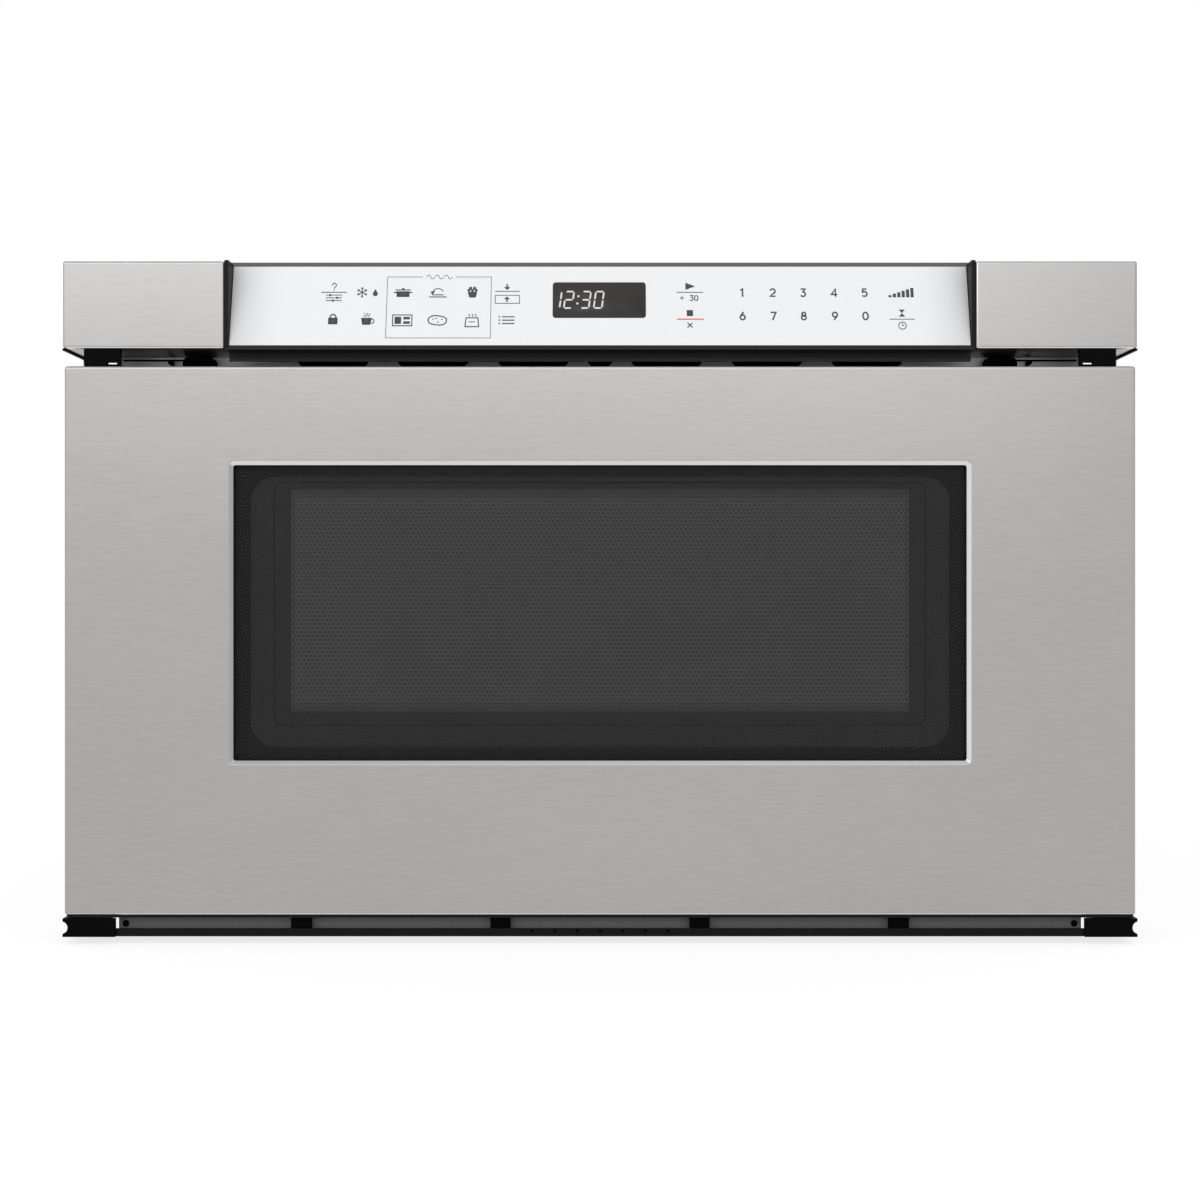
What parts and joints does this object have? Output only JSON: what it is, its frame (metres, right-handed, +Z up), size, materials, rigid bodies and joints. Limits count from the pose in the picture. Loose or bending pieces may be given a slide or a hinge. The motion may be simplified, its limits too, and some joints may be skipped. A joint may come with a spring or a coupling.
{
  "type": "microwave drawer",
  "caption": "Built-in microwave oven whose front pulls out as a motor-driven drawer, with a leaning touch panel above a windowed stainless door.",
  "frame": {"origin": "middle of the overall width and depth, at the surface that the skids stand on", "axes": "+Z up, the drawer opens towards -Y, +X to the right of someone facing the front"},
  "size_m": [0.6064, 0.5906, 0.3913],
  "materials": {
    "galvanised_steel": "satin",
    "brushed_stainless": "brushed",
    "black_coated_steel": "satin",
    "cavity_enamel": "satin",
    "black_plastic": "matte",
    "black_rubber": "matte",
    "white_glass": "gloss",
    "tinted_glass": "gloss",
    "clear_glass": "gloss",
    "screen_steel": "satin",
    "tray_ceramic": "gloss",
    "zinc_steel": "satin",
    "ball_steel": "polished",
    "nylon": "matte",
    "gear_acetal": "matte",
    "mica": "matte",
    "waveguide_steel": "satin",
    "magnet_ferrite": "matte",
    "fin_aluminium": "satin",
    "core_laminate": "satin",
    "coil_enamel": "gloss",
    "capacitor_can": "satin",
    "circuit_board": "satin",
    "motor_steel": "satin",
    "lamp_glass": "gloss",
    "grey_plastic": "matte"
  },
  "bodies": {
    "casing": {"base_plate": "galvanised_steel", "side_panels": "galvanised_steel", "top_cover": "galvanised_steel", "rear_cover": "galvanised_steel", "cover_screws": "zinc_steel", "cord_gland": "black_plastic", "front_flange": "black_coated_steel", "cavity_shell": "cavity_enamel", "exhaust_duct": "black_plastic", "stirrer_cover": "mica", "waveguide": "waveguide_steel", "stirrer_motor": "motor_steel", "magnetron_yoke": "zinc_steel", "magnetron_tube": "magnet_ferrite", "cooling_fins": "fin_aluminium", "filter_box": "zinc_steel", "transformer_core": "core_laminate", "transformer_windings": "coil_enamel", "hv_capacitor": "capacitor_can", "capacitor_clamp": "zinc_steel", "hv_diode": "black_plastic", "noise_filter_board": "circuit_board", "fan_housing": "grey_plastic", "air_duct": "grey_plastic", "fan_motor": "motor_steel", "oven_lamp": "lamp_glass", "cavity_sensors": "grey_plastic", "switch_brackets": "zinc_steel", "interlock_switches": "black_plastic", "control_frame": "black_plastic", "control_glass": "white_glass", "control_board": "circuit_board", "end_panels": "brushed_stainless", "door_bumpers": "black_rubber", "lower_trim": "black_coated_steel", "corner_blocks": "black_plastic", "outer_slides": "zinc_steel", "slide_brackets": "galvanised_steel", "shaft_bearings": "nylon", "drive_motor": "motor_steel", "motor_bracket": "galvanised_steel"},
    "drawer": {"door_panel": "brushed_stainless", "window_glass": "tinted_glass", "door_screen": "screen_steel", "door_frame": "black_plastic", "choke_cover": "black_plastic", "inner_glass": "clear_glass", "latch_heads": "nylon", "drawer_pan": "cavity_enamel", "glass_tray": "tray_ceramic", "carrier_rails": "galvanised_steel", "toothed_racks": "gear_acetal", "inner_slides": "zinc_steel"},
    "middle_slides": {"middle_slides": "zinc_steel"},
    "ball_cages_outer": {"ball_cages_outer": "ball_steel"},
    "ball_cages_inner": {"ball_cages_inner": "ball_steel"},
    "drive_shaft": {"drive_shaft": "gear_acetal"},
    "motor_pinion": {"motor_pinion": "gear_acetal"},
    "fan_wheel": {"fan_wheel": "nylon"},
    "stirrer_antenna": {"stirrer_antenna": "fin_aluminium"}
  },
  "joints": [
    {"name": "drawer_slide", "type": "slide", "parent": "casing", "child": "drawer", "axis": [0, -1, 0], "range_m": [0, 0.381]},
    {"name": "middle_slide", "type": "slide", "parent": "casing", "child": "middle_slides", "axis": [0, -1, 0], "range_m": [0, 0.1905]},
    {"name": "outer_cage_slide", "type": "slide", "parent": "casing", "child": "ball_cages_outer", "axis": [0, -1, 0], "range_m": [0, 0.09525]},
    {"name": "inner_cage_slide", "type": "slide", "parent": "casing", "child": "ball_cages_inner", "axis": [0, -1, 0], "range_m": [0, 0.28575]},
    {"name": "drive_shaft_turn", "type": "hinge", "parent": "casing", "child": "drive_shaft", "pos_m": [0, -0.2241, 0.0455], "axis": [1, 0, 0], "range_deg": [0, 1619]},
    {"name": "motor_pinion_turn", "type": "hinge", "parent": "casing", "child": "motor_pinion", "pos_m": [-0.011, -0.1836, 0.0455], "axis": [1, 0, 0], "range_deg": [-3236, 0]},
    {"name": "fan_spin", "type": "hinge", "parent": "casing", "child": "fan_wheel", "pos_m": [0.1, 0.239, 0.276], "axis": [1, 0, 0], "continuous": true},
    {"name": "antenna_spin", "type": "hinge", "parent": "casing", "child": "stirrer_antenna", "pos_m": [0, -0.035, 0.345], "axis": [0, 0, 1], "continuous": true}
  ],
  "couplings": [
    {"joint": "middle_slide", "follows": "drawer_slide", "ratio": 0.5},
    {"joint": "outer_cage_slide", "follows": "drawer_slide", "ratio": 0.25},
    {"joint": "inner_cage_slide", "follows": "drawer_slide", "ratio": 0.75},
    {"joint": "drive_shaft_turn", "follows": "drawer_slide", "rad_per_m": 74.074},
    {"joint": "motor_pinion_turn", "follows": "drawer_slide", "rad_per_m": -148.15}
  ]
}
